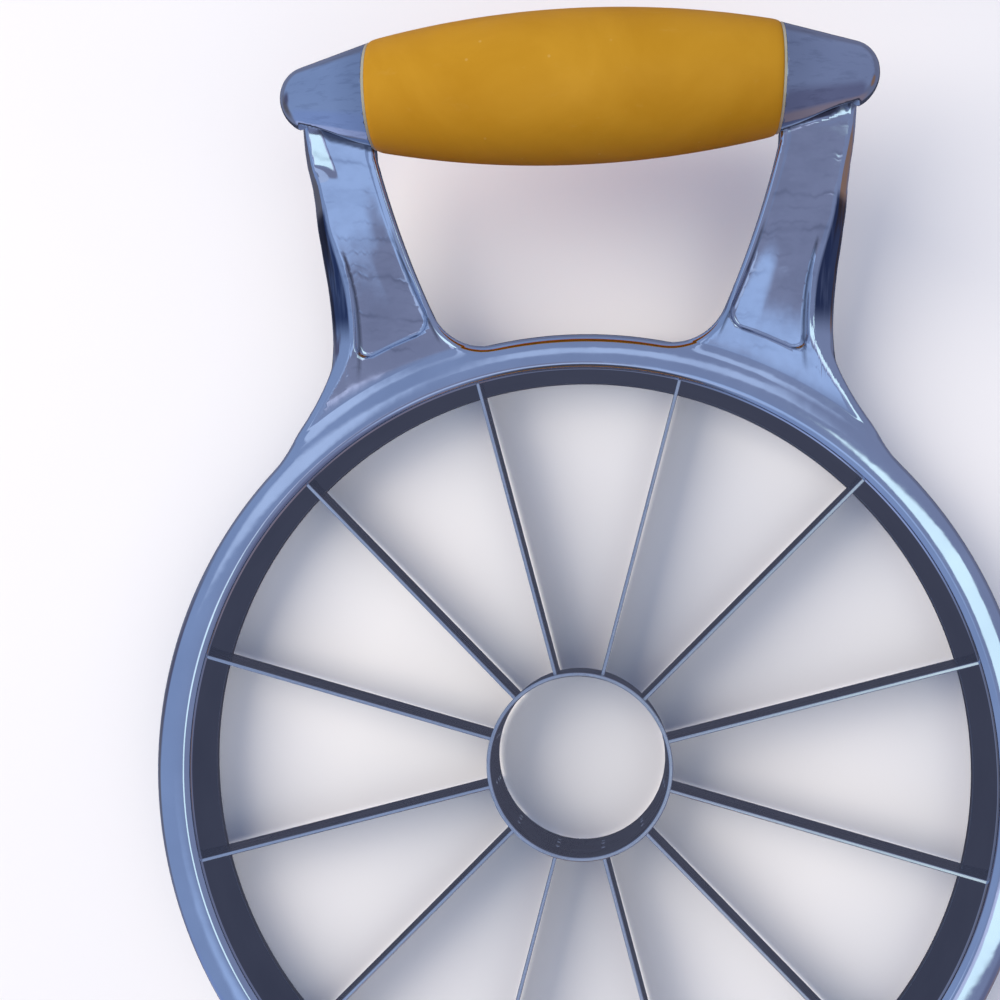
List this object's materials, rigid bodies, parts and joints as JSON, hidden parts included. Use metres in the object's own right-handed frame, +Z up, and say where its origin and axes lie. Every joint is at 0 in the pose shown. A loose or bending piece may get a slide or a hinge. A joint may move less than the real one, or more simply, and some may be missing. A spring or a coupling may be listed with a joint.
{
  "type": "melon slicer",
  "caption": "Push-down melon slicer: a chrome cast ring with a raised soft-grip handle at each end, thin steel blades and a core ring.",
  "frame": {"origin": "on the ring's axis, in the plane that the tool stands on", "axes": "+Z up along the ring's axis, away from the cutting edges; +Y towards the rear handle, at right angles to the handles' bars; +X along the bars"},
  "size_m": [0.222, 0.3542, 0.0691],
  "materials": {
    "chrome_casting": "polished",
    "retainer_steel": "satin",
    "screw_steel": "satin",
    "core_steel": "satin",
    "blade_steel": "satin",
    "grip_core_plastic": "satin",
    "grip_soft": "matte"
  },
  "bodies": {
    "root": {"frame_casting": "chrome_casting", "blade_retainer_ring": "retainer_steel", "retainer_screws": "screw_steel", "core_ring": "core_steel", "blade_01": "blade_steel", "blade_02": "blade_steel", "blade_03": "blade_steel", "blade_04": "blade_steel", "blade_05": "blade_steel", "blade_06": "blade_steel", "blade_07": "blade_steel", "blade_08": "blade_steel", "blade_09": "blade_steel", "blade_10": "blade_steel", "blade_11": "blade_steel", "blade_12": "blade_steel", "rear_grip_lower_core": "grip_core_plastic", "rear_grip_upper_core": "grip_core_plastic", "rear_grip_sleeve": "grip_soft", "front_grip_lower_core": "grip_core_plastic", "front_grip_upper_core": "grip_core_plastic", "front_grip_sleeve": "grip_soft"}
  },
  "joints": []
}
